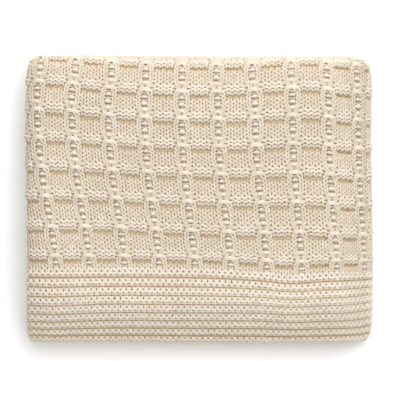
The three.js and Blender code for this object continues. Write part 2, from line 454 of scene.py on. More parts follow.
# The cloth's middle line from selvedge to selvedge: x, offset, the way it faces, and 1 on the face
def clothLine(w, faceSteps, backSteps, tuckSteps, foldSteps):
    left, right = (float(side) for side in sidesAt(w))
    face = mix(left, right, endedSteps(faceSteps))
    back = mix(left, right, endedSteps(backSteps))[::-1]
    topTuck = mix(left, folding["topTuckEnd"], endedSteps(tuckSteps))[::-1]
    bottomTuck = mix(left, folding["bottomTuckEnd"], endedSteps(tuckSteps))
    turn = np.linspace(0, 1, foldSteps + 1)[1:-1]
    roundLeft = quarterTurn + halfTurn

    def leafAt(x, offset, faces, shows=0):
        return [x, offset + 0 * x, 0 * x, faces + 0 * x, shows + 0 * x]

    def foldAt(middleX, middleOffset, radius, start, end):
        angle = mix(start, end, turn)
        return [middleX + radius * np.cos(angle), middleOffset + radius * np.sin(angle),
                np.cos(angle), np.sin(angle), 0 * angle]

    parts = [
        leafAt(topTuck, tuckedOffset, -1),
        foldAt(left, leafPitch, foldRadius, roundLeft, quarterTurn),
        leafAt(face, outerLeaf(face), 1, 1),
        foldAt(right, 0, float(outerLeaf(right)), quarterTurn, -quarterTurn),
        leafAt(back, -outerLeaf(back), -1),
        foldAt(left, -leafPitch, foldRadius, roundLeft, quarterTurn),
        leafAt(bottomTuck, -tuckedOffset, 1),
    ]
    return [np.concatenate(column) for column in zip(*parts)]


def makeSheet(choices):
    steps = [choices[key] for key in ("faceSteps", "backSteps", "tuckSteps", "foldSteps")]
    places = [stretch + np.arange(count) / count for stretch, count in choices["lengthSteps"].items()]
    stations = np.append(np.concatenate(places), stretchEnd)
    rings, lengths, across = [], [0.0], None
    for w in stations:
        x, offset, faceX, faceOffset, shows = clothLine(w, *steps)
        under = (smooth(w - bottomStretch, *choices["bareFrom"])
                 * smooth(frontBend - w, 0, choices["bareTo"]))
        away = smooth(np.minimum(x - leftFold, rightFold - x), 0, choices["bareEdge"])
        outer = mix(choices["outerSide"], choices["bareSide"], under * away * shows)
        sides = [packPoint(w, x + faceX * side, offset + faceOffset * side)
                 for side in (outer, 0 * outer - choices["innerSide"])]
        rings.append(np.concatenate([sides[0], sides[1][::-1]]))
        across = runAlong(np.stack([x, offset], -1))
        if len(rings) > 1:
            lengths.append(float(np.linalg.norm(rings[-1] - rings[-2], axis=1).mean()))
    rings = np.array(rings) + seat
    count, rows = rings.shape[1], len(rings)
    i, ring = np.meshgrid(np.arange(count), np.arange(rows - 1))
    nextI = (i + 1) % count
    a, b = ring * count + i, ring * count + nextI
    quads = np.stack([a, b, b + count, a + count], -1).reshape(-1, 4)
    k = np.arange(count // 2 - 1)
    end = np.stack([k, count - 1 - k, count - 2 - k, k + 1], -1)
    ends = np.concatenate([end, end[:, ::-1] + (rows - 1) * count])
    along = np.cumsum(lengths)
    around = np.concatenate([across, across[::-1]])
    cloth = mapSquares(around[i], around[nextI], along[ring], along[ring + 1])
    # the baking map has the rings on its left and the two open ends in a column on its right
    mapWidth = count + 4
    bake = mapSquares(i / mapWidth, (i + 1) / mapWidth, ring / rows, (ring + 1) / rows)
    square = np.array([[0, 0], [1, 0], [1, 1], [0, 1]])
    endPlace = np.arange(len(ends))[:, None]
    endFills = 0.8    # share of its place in that column
    endBake = np.stack(np.broadcast_arrays((count + 1 + 2 * square[:, 0]) / mapWidth,
                                           (endPlace + endFills * square[:, 1]) / len(ends)), -1)
    endCloth = np.stack([around[ends % count], 2 * square[:, 1] + 0 * endPlace], -1)
    uvs = {"OFBake": [bake, endBake], "cloth": [cloth, endCloth]}
    return makeMesh("throw_sheet", rings.reshape(-1, 3), [quads, ends], uvs, {})


# Rows lie at even distances along the outside of the cloth. This finds w from that distance, which
# is 0 at startW. The cloth before that place is taken to be frontLength long, if that is given.
def rowFinder(xs, offsets, startW, frontLength=None, steps=1800):
    ws = np.linspace(0, stretchEnd, steps + 1)
    runs = []
    for x, offset in zip(xs, offsets):
        run = runAlong(packPoint(ws, x, offset))
        run -= np.interp(startW, ws, run)
        if frontLength:
            run = np.where(run < 0, run * frontLength / -run[0], run)
        runs.append(run)
    first = math.floor(min(run[0] for run in runs)) - 1
    grid = np.arange(first, max(run[-1] for run in runs) + 2)
    table = np.array([np.interp(grid, run, ws) for run in runs])

    def find(b, x):
        place = np.interp(x, xs, np.arange(len(xs)))
        i = np.clip(place.astype(int), 0, max(len(xs) - 2, 0))
        nextI = np.minimum(i + 1, len(xs) - 1)
        k = np.clip((b - first).astype(int), 0, len(grid) - 2)
        shareX, shareB = place - i, np.clip(b - first - k, 0, 1)
        low = mix(table[i, k], table[i, k + 1], shareB)
        high = mix(table[nextI, k], table[nextI, k + 1], shareB)
        return mix(low, high, shareX)

    return find, runs, ws


# The knitting. Widths are in wales, one wale being a column of stitches.

knitChoices = {
    "wale": 7.08,          # across one wale
    "yarnRadius": 1.61,
    "purlRadius": 1.65,
    "loopSwing": 0.26,     # how far the legs of a stitch lean, in wales
    "purlSwing": 0.14,
    "overlap": 1.05,       # how far a stitch reaches into the rows above and below
    "purlOverlap": 0.95,   # the same where the row above is purled
    "loopDepth": 0.85,     # how far the front of a knit stitch stands from the middle
    "purlDepth": 1.15,     # how far the legs of a purled stitch lie behind it
    "faceHeight": 0.7,     # middle of the yarn above the middle of the cloth
    "headMoves": (0.15, 0.85),    # part of its height over which a stitch leans to the next one
    "unevenWale": 0.02,
    "unevenPlace": 0.16,
    "unevenHeight": 0.096,
    "unevenTint": 0.15,
    "unevenThickness": 0.05,
    "firstThickness": 1.08,    # of the first knit row above a ridge
    # the tints of knit and purled stitches are painted light and shade by how each lies; unevenTint is
    # the yarn's own uneven tone
    "knitTint": 0.1,       # tints run from 0, the painted shade of hidden yarn, and a tenth, the deepest, to 1, the palest
    "purlTint": 0.6,
    "leastTint": 0.1,
    "stitchSteps": 12,
    "seed": 11,
}

# cable columns from left to right: x of each near the outer fold, how far it leans right on its
# way down to the border, and how far it moves over the fold itself
cableColumns = {
    "first": -2,
    "middles": [-272, -230, -188.3, -148.2, -105.9, -64, -21, 21, 64, 107.1, 149, 184.5, 224, 264],
    "leans": [22, 22, 21.7, 20, 18.4, 16.3, 14.5, 14, 12.5, 9.5, 8.5, 6.5, 6, 6],
    "overFold": [2.9, 2.9, 2.9, 3.6, 3.4, 1.2, 0, -2.4, -4, -2, -3, -2.3, -2, -2],
    "leanAt": [-96, 0, 33, 67, 99, 132, 164, 195],
    "leanShare": [1.2, 1, 0.83, 0.57, 0.34, 0.16, 0.06, 0],
    "foldFrom": 195,
    "foldTo": 227,
}
walesInRepeat = 6

# Places along the cloth are counted from the top of the border: the body has them above 0 and
# the border below.

bodyChoices = {
    "ridgeStarts": [11.8, 45.6, 79.5, 112.3, 144.7, 176.5, 208.2, 240.3, 272.1, 303.9, 335.7],
    "purlHeights": [4.1, 4.1, 1.6],
    "knitRows": 5,
    "knitBeforeFirst": 3,
    "ridgeRise": 1.95,
    "ridgeMiddle": 4.4,    # this and the pit's middle are counted from the start of the ridge
    "ridgeWide": 3.8,
    "pitDepth": 3.6,
    "pitMiddle": -3.5,
    "pitWide": 2.1,
    "pitFade": 0.6,        # share by which the pits get shallower on the underside
    "pitFadeAt": (280, 300),
    "windowDepth": 0.25,
    "windowEdge": (1.2, 1.7),    # wales from a cable where the plain windows begin
    "waveX": [-200, -170, -125, -81, -40, 0, 41, 85, 126, 166, 192],
    "backWave": [6.0, 5.8, 0.2, -3.1, -4.8, -4.9, -4.3, -1.0, 0.2, -4.5, -6.8],
    "frontWave": [0.0, -0.2, 0.5, -0.2, -2.2, -2.9, -4.5, -5.8, -5.4, -8.4, -9.5],
    "waveBetween": (30, 205),    # from where the front wave turns into the back one, and to where
    "waveMeets": 45,       # the waves of the border have gone here
}

borderChoices = {
    "bands": 9,
    # height of each row of a band, if it is purled, and how far it reaches into the row before
    "rows": [(3.0, True, 0.3), (3.7, True, -0.35), (0.9, True, 1.15), (3.3, False, 0.9)],
    "stitchSteps": 10,
    "loopSwing": 0.12,
    "yarnRadius": 1.52,
    "length": 95.9,
    "bandRise": 0.5,
    "grooveAt": 9.2,
    "grooveWide": 1.7,
    "grooveDeep": [2.7, 4.7],    # where they are shallowest and at the ends of the border
    "shallowAt": 0.45,           # share of the border from its top to that place
    "deeperLeft": 0.75,          # share by which the grooves get deeper to the left
    "deeperAt": (6, 22),         # and over which wales, to the left of the middle
    "bandsEnd": -2,              # the last place with a band or a groove
    "tint": [0.85, 1.0],         # at the hem and at the top of the border, paler than the body as painted light
    "tintEnd": -30,              # from where it is that of the top
    "leastRow": 0.5,             # a last row lower than this is left out
    "waveX": [-200, -160, -105, -40, 20, 70, 105, 145, 200],
    "topWave": [0.4, 0.3, 0.7, 1.2, 0.6, -2.4, -5.4, -3.4, -4.5],
    "middleWave": [0.3, 1.2, 3.7, 4.2, 4.7, 4.8, 2.7, 3.6, -0.4],
    "hemStraight": 0.25,         # share of the border over which the waves grow from the hem
    "hemPower": 0.6,
    "middleEnd": 0.6,            # share of it, from the top, over which they become those of the top
}

cableChoices = {
    "legPlaces": [5.8, 3.4, 3.4, 4.8, 6.6, 7.3, 7.3, 6.9],    # of each row of a repeat, from the column
    "legRise": -0.3,       # of the cloth under the legs
    "legWide": 0.42,
    "legHalfWidth": [2.9, 3.1],    # towards the column and away from it
    "legDrawn": 0.7,       # share of a stitch, from its middle, that is drawn to that width
    "legSwing": 0.9,
    # the legs' low tint is painted shade on the cable's sides
    "legTint": 0.1,
    "archStart": -2.4,     # the two ends of the arch, counted from the start of the ridge
    "archHeight": 5.9,
    "archHalfWidth": 0.9,
    "archThickness": 1.17,
    "archRise": 1.3,
    "archTint": 0.5,
    "behind": [0.3, 1.2, 0.6],     # how far the legs lie behind the arch in each row of the ridge
    "middleBehind": 1.8,           # times as far for the stitch between them
    "floatRows": [0, 3, 4, 5, 6, 7],    # rows where the yarn runs straight behind the cable
    "floatDepth": -1.7,
    "floatThickness": 1.5,
}

ridgeRows = len(bodyChoices["purlHeights"])
repeatRows = ridgeRows + bodyChoices["knitRows"]


def heightOf(rows):
    return sum(row[0] for row in rows)


# Turn counts the rows of a repeat, and is -1 in the border
def rowAt(start, height, purled, reach, turn=-1):
    return {"start": start, "height": height, "purled": purled, "reach": reach, "turn": turn}


# Rows of the face from the hem to the underside
def faceRows(lastStart):
    rows = []
    start = -borderChoices["length"]
    for height, purled, reach in borderChoices["rows"] * borderChoices["bands"]:
        if start < -borderChoices["leastRow"]:
            rows.append(rowAt(start, min(height, -start), purled, reach))
            start += height
    starts, before = bodyChoices["ridgeStarts"], bodyChoices["knitBeforeFirst"]
    reach, purlReach = knitChoices["overlap"], knitChoices["purlOverlap"]
    height = starts[0] / before
    for k in range(before):
        rows.append(rowAt(k * height, height, False, reach, repeatRows - before + k))
    for start, end in zip(starts[:-1], starts[1:]):
        for turn, height in enumerate(bodyChoices["purlHeights"]):
            rows.append(rowAt(start, height, True, purlReach, turn))
            start += height
        height = (end - start) / bodyChoices["knitRows"]
        for turn in range(ridgeRows, repeatRows):
            rows.append(rowAt(start, height, False, reach, turn))
            start += height
    return [row for row in rows if row["start"] < lastStart]


# x of a place across the face, counted in wales, at b along it
def waleX(wale, b):
    column = wale / walesInRepeat - cableColumns["first"]
    order = np.arange(len(cableColumns["middles"]))
    lean = throughTable(b, cableColumns["leanAt"], cableColumns["leanShare"])
    over = smooth(b, cableColumns["foldFrom"], cableColumns["foldTo"])
    return (throughTable(column, order, cableColumns["middles"])
            + throughTable(column, order, cableColumns["leans"]) * lean
            + throughTable(column, order, cableColumns["overFold"]) * over)


# How far the rows at b wander from straight lines
def faceWave(x, b):
    back = throughTable(x, bodyChoices["waveX"], bodyChoices["backWave"])
    front = throughTable(x, bodyChoices["waveX"], bodyChoices["frontWave"])
    body = mix(front, back, np.interp(b, bodyChoices["waveBetween"], [0, 1]))
    top = throughTable(x, borderChoices["waveX"], borderChoices["topWave"])
    middle = throughTable(x, borderChoices["waveX"], borderChoices["middleWave"])
    length = borderChoices["length"]
    fromHem = np.clip((b + length) / (borderChoices["hemStraight"] * length), 0, 1)
    border = mix(middle * fromHem ** borderChoices["hemPower"], top,
                 smooth(b, -length * borderChoices["middleEnd"], 0))
    return mix(border, body, smooth(b, 0, bodyChoices["waveMeets"]))


# Slow swells of the face: ridges, the pits below them, and the bands of the border
def faceRelief(wale, b):
    body, border = bodyChoices, borderChoices
    starts = np.array(body["ridgeStarts"])
    fromRidge = b - starts[np.abs(b[..., None] - starts).argmin(-1)]
    fromCable = np.abs((wale + walesInRepeat / 2) % walesInRepeat - walesInRepeat / 2)
    window = smooth(fromCable, *body["windowEdge"])
    ridge = body["ridgeRise"] * bell(fromRidge, body["ridgeMiddle"], body["ridgeWide"])
    pit = body["pitDepth"] * bell(fromRidge, body["pitMiddle"], body["pitWide"])
    pit = pit * (1 - body["pitFade"] * smooth(b, *body["pitFadeAt"]))
    leg = cableChoices["legRise"] * bell(fromCable, 1, cableChoices["legWide"])
    inBody = ridge + leg - (pit + body["windowDepth"]) * window
    bandPitch = heightOf(border["rows"])
    fromHem = b + border["length"]
    fromGroove = (fromHem - border["grooveAt"] + bandPitch / 2) % bandPitch - bandPitch / 2
    fromShallow = np.clip(np.abs(2 * b / border["length"] + 2 * border["shallowAt"]), 0, 1)
    deep = mix(*border["grooveDeep"], fromShallow ** 2)
    deep = deep * (1 + border["deeperLeft"] * smooth(-wale, *border["deeperAt"]))
    inBorder = border["bandRise"] - deep * bell(fromGroove, 0, border["grooveWide"])
    return np.where(b < border["bandsEnd"], inBorder, inBody)


# The yarn of one row of stitches. In the tables stitches run down and the steps of a stitch run
# across. They give the place in wales across and in millimetres along the cloth, the height out
# of it, the radius and the tint.
def rowOfStitches(row, following, wales, chance, steps):
    knit, cable, border = knitChoices, cableChoices, borderChoices
    wales = wales[:, None]
    turn, nextTurn = row["turn"], following["turn"]
    across = (wales + walesInRepeat // 2) % walesInRepeat - walesInRepeat // 2
    inBody = turn >= 0
    isLeg = (np.abs(across) == 1) & inBody
    isArch = (across == 1) & (turn == 0)
    isMiddle = (across == 0) & inBody
    isFloat = isMiddle & (turn in cable["floatRows"])

    def uneven(size):
        return chance.normal(0, size, wales.shape)

    def legShift(turnHere):
        if turnHere < 0:
            return 0.0
        return np.where(isLeg, across * (cable["legPlaces"][turnHere] / knit["wale"] - 1), 0.0)

    middles = wales + legShift(turn)
    base = middles + uneven(knit["unevenWale"])
    head = wales + legShift(nextTurn)
    edges = np.concatenate([middles[:1] - 0.5, (middles[1:] + middles[:-1]) / 2, middles[-1:] + 0.5])
    t = -halfTurn + fullTurn * np.arange(steps) / steps
    u = t / fullTurn
    share = (1 + np.cos(t)) / 2
    # the legs of a cable are drawn together, and reach their neighbours only at the bottom
    half = np.where(u < 0, base - edges[:-1], edges[1:] - base)
    towards, away = (width / knit["wale"] for width in cable["legHalfWidth"])
    drawn = np.minimum(half, np.where(u * across > 0, away, towards))
    drawn = np.where(isArch, cable["archHalfWidth"] / knit["wale"], drawn)
    half = np.where(isLeg, mix(drawn, half, smooth(np.abs(2 * u), cable["legDrawn"], 1)), half)
    swing = knit["purlSwing" if row["purled"] else "loopSwing"] if inBody else border["loopSwing"]
    swing = swing * np.sin(2 * t) * np.where(isLeg, cable["legSwing"], 1)
    wale = base + 2 * u * half + swing + smooth(share, *knit["headMoves"]) * (head - base)
    bottom = row["start"] - row["reach"]
    b = bottom + (row["start"] + row["height"] + following["reach"] - bottom) * share
    # the right leg of a cable arches over to the left one, with its two sides beside each other
    wide, high = cable["legPlaces"][0], cable["archHeight"]
    turned = halfTurn - np.abs(t)
    outX, outB = high * np.cos(turned), wide * np.sin(turned)
    side = np.sign(u) * (1 - (1 - np.abs(2 * u)) ** 2) * half * knit["wale"] / np.hypot(outX, outB)
    archWale = wales - across + (wide * np.cos(turned) + side * outX) / knit["wale"]
    archB = row["start"] + cable["archStart"] + high * np.sin(turned) + side * outB
    wale = np.where(isArch, archWale, wale)
    b = np.where(isArch, archB, b) + uneven(knit["unevenPlace"]) * share
    # what joins two stitches lies in front only where both are purled
    purled = np.where(isLeg, False, row["purled"])
    depth = knit["loopDepth"]
    legs = np.where(purled, -knit["purlDepth"], depth)
    heads = np.where(following["purled"] & ~isLeg, depth, -depth)
    both = purled[1:] & purled[:-1]
    both = np.where(u < 0, np.concatenate([purled[:1], both]), np.concatenate([both, purled[-1:]]))
    ends = np.where(np.abs(t) < quarterTurn, heads, np.where(both, depth, -depth))
    height = np.sin(t) ** 2 * legs + np.cos(t) ** 2 * ends
    height = height + isArch * cable["archRise"] * np.sin(turned)
    if 0 <= turn < ridgeRows:
        height = height - (isLeg + cable["middleBehind"] * isMiddle) * cable["behind"][turn]
    height = height + uneven(knit["unevenHeight"])
    # a float runs straight behind the cable, and needs fewer steps
    wale = np.where(isFloat, edges[:-1] + (t + halfTurn) / fullTurn, wale)
    b = np.where(isFloat, bottom, b)
    height = np.where(isFloat, cable["floatDepth"], height)
    keep = ~isFloat | (np.arange(steps) % (steps // 2) == 0)
    if inBody:
        tint = np.where(purled, knit["purlTint"], knit["knitTint"])
        tint = np.where(isLeg, np.where(isArch, cable["archTint"], cable["legTint"]), tint)
        radius = knit["purlRadius" if row["purled"] else "yarnRadius"]
    else:
        tint = mix(*border["tint"], smooth(row["start"], -border["length"], border["tintEnd"]))
        radius = border["yarnRadius"]
    tint = np.clip(tint + uneven(knit["unevenTint"]), knit["leastTint"], 1)
    # floats get tint 0, which the yarn material paints in the shade colour of yarn behind a cable
    tint = np.where(isFloat, 0, tint)
    radius = radius * (1 + uneven(knit["unevenThickness"]))
    radius = radius * np.where(isArch, cable["archThickness"], 1)
    first = knit["firstThickness"] if turn == ridgeRows else 1
    radius = radius * np.where(isFloat, cable["floatThickness"], first)
    return [np.broadcast_to(table, keep.shape)[keep] for table in (wale, b, height, radius, tint)]


# How the rows are laid on the cloth. Angles are in radians round a fold.

layChoices = {
    "measuredAt": 2.0,     # height at which the distance along the cloth is measured
    "keptAt": 1.3,         # height at which stitches keep their width round a side fold
    "borderTop": -80.7,    # y where the border ends
    "insideFolds": (1.5, 1.0),    # left and right, where the rows are no longer measured
    "leftAngle": 2.75,     # how far round each fold the yarn goes
    "rightAngle": 2.9,
    "foldAngle": 1.75,
    "swellLift": 0.8,      # share of a swell that doesn't count as lift, the height that picks the painted shade and how much more than itself a pit counts, which darkens pits with painted shade
    "pitLift": 2.2,        # and how much more than itself a pit counts
    "faceEnd": 0.2,        # share of the bottom stretch that has yarn
    "edge": 14.0,          # how far past the middle of a side fold stitches are made
}

# places across the face where rows are measured, closer together where the pack thins
measuredXs = np.concatenate([np.linspace(leftFold, 130, 14), np.linspace(140, rightFold, 14)])
borderTopW = (layChoices["borderTop"] - topHem) / (foldStart - topHem)
findFaceW, faceRuns, faceWs = rowFinder(measuredXs, outerLeaf(measuredXs) + layChoices["measuredAt"],
                                        borderTopW, borderChoices["length"])
faceEndW = bottomStretch + layChoices["faceEnd"]
faceEnd = min(np.interp(faceEndW, faceWs, run) for run in faceRuns)
layRadius = foldRadius + layChoices["keptAt"]


# The place of a point of the face, and whether it shows
def onFace(x, b, height):
    insideLeft, insideRight = layChoices["insideFolds"]
    w = findFaceW(b, np.clip(x, leftFold + insideLeft, rightFold - insideRight))
    left, right = sidesAt(w)
    leftTurn = np.clip((left - x) / layRadius, 0, None)
    rightTurn = np.clip((x - right) / layRadius, 0, None)
    isLeft, isRight = leftTurn > 0, rightTurn > 0
    leftAngle, rightAngle = quarterTurn + leftTurn, quarterTurn - rightTurn
    leftRadius, rightRadius = foldRadius + height, outerLeaf(right) + height
    placeX = np.where(isRight, right + rightRadius * np.cos(rightAngle), x)
    placeX = np.where(isLeft, left + leftRadius * np.cos(leftAngle), placeX)
    offset = np.where(isRight, rightRadius * np.sin(rightAngle), outerLeaf(x) + height)
    offset = np.where(isLeft, leafPitch + leftRadius * np.sin(leftAngle), offset)
    shows = (leftTurn < layChoices["leftAngle"]) & (rightTurn < layChoices["rightAngle"])
    return packPoint(w, placeX, offset) + seat, shows


# The place of a point of one of the rounded folds along the sides, a from the middle of the fold
def onFold(toLeft, middle, findW):
    def place(a, b, height):
        w = findW(b, 0 * b)
        left, right = sidesAt(w)
        turn = (-a if toLeft else a) / layRadius
        angle = halfTurn * toLeft - turn
        radius = foldRadius + height
        placeX = (left if toLeft else right) + radius * np.cos(angle)
        shows = np.abs(turn) < layChoices["foldAngle"]
        return packPoint(w, placeX, middle + radius * np.sin(angle)) + seat, shows
    return place


# Puts the points of a row in place, with the way out of the cloth at each. Lift is the height from
# which the yarn takes its colour: low yarn is painted darker as shade and high yarn paler as a
# painted highlight.
def layRow(yarns, place, x, b, height, radius, tint, relief=0, outStep=0.5):
    points, shows = place(x, b, height)
    out = unit(place(x, b, height + outStep)[0] - points)
    points[:, 2] = np.maximum(points[:, 2], radius)
    shown = np.flatnonzero(shows)
    if len(shown):
        run = slice(shown[0], shown[-1] + 1)
        lift = (height - layChoices["swellLift"] * np.maximum(relief, 0)
                + layChoices["pitLift"] * np.minimum(relief, 0))
        yarns.add(points[run], out[run], radius[run], lift[run], tint[run])


# Yarn over the whole face, from the front hem over the back fold to the underside

# pieces of the face, and the last place where a row of each begins
facePieces = {
    "throw_border_front": -48,
    "throw_border_back": 5,
    "throw_body_front": 110,
    "throw_body_middle": 206,
    "throw_body_back": 302,
    "throw_back": faceEnd,
}
firstColumn = cableColumns["first"]
lastColumn = firstColumn + len(cableColumns["middles"]) - 1


def knitFace(chance):
    rows = faceRows(faceEnd)
    allWales = np.arange(walesInRepeat * firstColumn, walesInRepeat * lastColumn)
    pieces = {name: Yarns(name) for name in facePieces}
    for row, following in zip(rows, rows[1:] + rows[-1:]):
        name = next(name for name, last in facePieces.items() if row["start"] <= last)
        x = waleX(allWales, row["start"])
        wales = allWales[(x > leftFold - layChoices["edge"]) & (x < rightFold + layChoices["edge"])]
        steps = (borderChoices if row["turn"] < 0 else knitChoices)["stitchSteps"]
        wale, b, height, radius, tint = rowOfStitches(row, following, wales, chance, steps)
        relief = faceRelief(wale, b)
        height = height + knitChoices["faceHeight"] + relief
        x = waleX(wale, b)
        layRow(pieces[name], onFace, x, b + faceWave(x, b), height, radius, tint, relief)
    return [yarns.make() for yarns in pieces.values()]


# Yarn over the rounded folds along the sides, where the passes below the top one show

foldChoices = {
    "wale": 5.6,
    "knitHeight": 4.5,
    "steps": 8,
    "height": 0.3,
    "underFace": 0.1,    # how far these rows reach under the end of the face's
}

# name, whether it lies to the left, offset of its middle, and where the rows start
foldStartW = faceEndW - foldChoices["underFace"]
sideFolds = [
    ("throw_left_folds", True, leafPitch, foldStartW),
    ("throw_left_lower_folds", True, -leafPitch, 0),
    ("throw_right_folds", False, 0, foldStartW),
]


# Rows of the whole length of the cloth, with a border at each end
def foldRows(length):
    bands = (borderChoices["rows"] * borderChoices["bands"])[:-1]
    repeat = [(height, True, knitChoices["purlOverlap"]) for height in bodyChoices["purlHeights"]]
    repeat += [(foldChoices["knitHeight"], False, knitChoices["overlap"])] * bodyChoices["knitRows"]
    bodyLength = length - 2 * heightOf(bands)
    body = repeat * int(bodyLength / heightOf(repeat))
    scale = bodyLength / heightOf(body)
    rows, start = [], 0
    for height, purled, reach in bands + [(row[0] * scale, *row[1:]) for row in body] + bands[::-1]:
        rows.append(rowAt(start, height, purled, reach))
        start += height
    return rows


def knitFold(name, toLeft, middle, startW, chance):
    yarns = Yarns(name)
    x = leftFold - foldRadius if toLeft else rightFold + foldRadius
    findW, (run,), ws = rowFinder([x], [middle], 0)
    rows = foldRows(run[-1])
    firstStart = np.interp(startW, ws, run)
    for row, following in zip(rows, rows[1:] + rows[-1:]):
        if row["start"] < firstStart:
            continue
        wale, b, height, radius, tint = rowOfStitches(row, following, np.array([-1, 0]), chance,
                                                      foldChoices["steps"])
        a = (wale + 0.5) * foldChoices["wale"]
        b = np.clip(b, 0, run[-1])
        layRow(yarns, onFold(toLeft, middle, findW), a, b, height + foldChoices["height"], radius, tint)
    return yarns.make()


# The chain of stitches that closes each hem: two strands twisted round one another

hemChoices = {
    "radius": 1.35,
    "swing": 1.05,
    "twist": 7.08,
    "out": 0.3,
    "steps": 6,
    "tint": 0.5,
    "lineSteps": (90, 50, 40, 12),    # of the face, the back, the tucks and the folds
    "inward": 0.004,    # how far along the cloth the way out of the hem is taken from
}


def knitHem(name, w, choices):
    x, offset, faceX, faceOffset, _ = clothLine(w, *choices["lineSteps"])
    inward = choices["inward"] if w == 0 else -choices["inward"]
    middle = packPoint(w, x, offset) + seat
    facing = packPoint(w, x + faceX, offset + faceOffset) + seat - middle
    out = middle - packPoint(w + inward, x, offset) - seat
    run = runAlong(middle)
    at = np.arange(0, run[-1], choices["twist"] / choices["steps"])

    def along(table):
        return np.stack([np.interp(at, run, table[:, k]) for k in range(3)], -1)

    middle, facing, out = along(middle), unit(along(facing)), unit(along(out))
    yarns = Yarns(name)
    for turn in (0, halfTurn):
        angle = fullTurn * at / choices["twist"] + turn
        height = choices["swing"] * np.cos(angle)
        points = (middle + height[:, None] * facing
                  + (choices["out"] + choices["swing"] * np.sin(angle))[:, None] * out)
        points[:, 2] = np.maximum(points[:, 2], choices["radius"])
        yarns.add(points, facing, choices["radius"], height, choices["tint"])
    return yarns.make()


# The rungs that show between the two legs of a cable, three in each repeat

rungChoices = {
    "down": [4.9, 13.0, 20.6],    # below the start of the ridge
    "width": [8.0, 8.6, 9.0],
    "radius": [2.0, 2.3, 2.55],
    "height": 2.1,
    "curve": 1.4,
    "rise": 1.6,        # how far a rung curves up along the cloth, and out of it
    "out": 3.0,
    "ends": 0.35,       # share of its radius that doesn't taper
    "tint": 0.6,
    "steps": 7,
    "lowest": 0.5,      # no rung begins below this place above the border
    "edge": 8.0,        # how far past the middle of a side fold rungs are made
    "unevenPlace": 0.3,
    "unevenHeight": 0.1,
    "unevenThickness": 0.05,
}


def knitRungs(choices, chance):
    yarns = Yarns("throw_rungs")
    across = np.linspace(-1, 1, choices["steps"])
    shape = np.cos(choices["curve"] * across)
    columns = range(firstColumn, lastColumn + 1)
    starts = [start for start in bodyChoices["ridgeStarts"] if start <= faceEnd]
    rungs = list(zip(choices["down"], choices["width"], choices["radius"]))
    for column, start, (down, width, radius) in product(columns, starts, rungs):
        b = start - down + chance.normal(0, choices["unevenPlace"]) + choices["rise"] * (shape - 1)
        if b[0] < choices["lowest"]:
            continue
        x = waleX(column * walesInRepeat + 0 * b, b) + width / 2 * across
        if x[0] < leftFold - choices["edge"] or x[-1] > rightFold + choices["edge"]:
            continue
        height = choices["height"] + choices["out"] * (shape - 1)
        height = height + chance.normal(0, choices["unevenHeight"])
        thickness = 1 + chance.normal(0, choices["unevenThickness"])
        radius = radius * thickness * mix(choices["ends"], 1, shape)
        tint = np.full(len(b), choices["tint"])
        layRow(yarns, onFace, x, b + faceWave(x, b), height, radius, tint)
    return yarns.make()


chance = np.random.default_rng(knitChoices["seed"])
sheet = makeSheet(sheetChoices)
print("sheet folded")
knitted = knitFace(chance)
print("face knitted")
knitted += [knitFold(*fold, chance) for fold in sideFolds]
knitted.append(knitHem("throw_upper_hem", 0, hemChoices))
knitted.append(knitHem("throw_inner_hem", stretchEnd, hemChoices))
knitted.append(knitRungs(rungChoices, chance))
print("folds, hems and rungs knitted")


# Materials. Field is a socket that sums can be written with.

class Field:
    def __init__(self, material, socket):
        self.material, self.socket = material, socket

    def sum(self, operation, *values):
        return self.material.node("ShaderNodeMath", {"operation": operation}, dict(enumerate(values)))

    def __add__(self, other):
        return self.sum("ADD", self, other)

    def __sub__(self, other):
        return self.sum("SUBTRACT", self, other)

    def __rsub__(self, other):
        return self.sum("SUBTRACT", other, self)

    def __mul__(self, other):
        return self.sum("MULTIPLY", self, other)

    def __truediv__(self, other):
        return self.sum("DIVIDE", self, other)

    def __pow__(self, other):
        return self.sum("POWER", self, other)

    __radd__, __rmul__ = __add__, __mul__

    # of a number of turns
    def sine(self):
        return self.sum("SINE", self * fullTurn)

    def size(self):
        return self.sum("ABSOLUTE", self)

    def backAndForth(self, run):
        return self.sum("PINGPONG", self, run)

    def between(self, low, high):
        return self.sum("MINIMUM", self.sum("MAXIMUM", self, low), high)

    def rise(self, start, end):
        return self.material.node("ShaderNodeMapRange", {"interpolation_type": "SMOOTHSTEP"},
                                  {"Value": self, "From Min": start, "From Max": end})


class Material:
    def __init__(self, name):
        self.data = bpy.data.materials.new(name)
        self.data.use_nodes = True
        self.tree = self.data.node_tree
        self.shader = self.tree.nodes["Principled BSDF"]

    def put(self, socket, value):
        if isinstance(value, Field):
            self.tree.links.new(value.socket, socket)
        else:
            socket.default_value = value

    def node(self, kind, settings, inputs, output=0):
        made = self.tree.nodes.new(kind)
        for key, value in settings.items():
            setattr(made, key, value)
        for key, value in inputs.items():
            self.put(made.inputs[key], value)
        return Field(self, made.outputs[output])

    def set(self, **sockets):
        for key, value in sockets.items():
            self.put(self.shader.inputs[key.replace("_", " ")], value)

    def attribute(self, name):
        return self.node("ShaderNodeAttribute", {"attribute_name": name}, {}, "Fac")

    def uv(self, layer):
        place = self.node("ShaderNodeUVMap", {"uv_map": layer}, {})
        return [self.node("ShaderNodeSeparateXYZ", {}, {0: place}, axis) for axis in (0, 1)]

    def noise(self, scale):
        here = self.node("ShaderNodeTexCoord", {}, {}, "Object")
        return self.node("ShaderNodeTexNoise", {}, {"Vector": here, "Scale": scale, "Detail": 2.0})

    def mixed(self, share, first, second):
        return self.node("ShaderNodeMix", {"data_type": "RGBA"}, {0: share, 6: first, 7: second}, 2)

    # height in millimetres
    def bump(self, height):
        return self.node("ShaderNodeBump", {}, {"Height": height, "Distance": mm, "Strength": 1.0})


def colour(red, green, blue):
    return (red, green, blue, 1.0)


cottonFinish = {"Sheen_Weight": 0.15, "Sheen_Roughness": 0.5, "Specular_IOR_Level": 0.25}

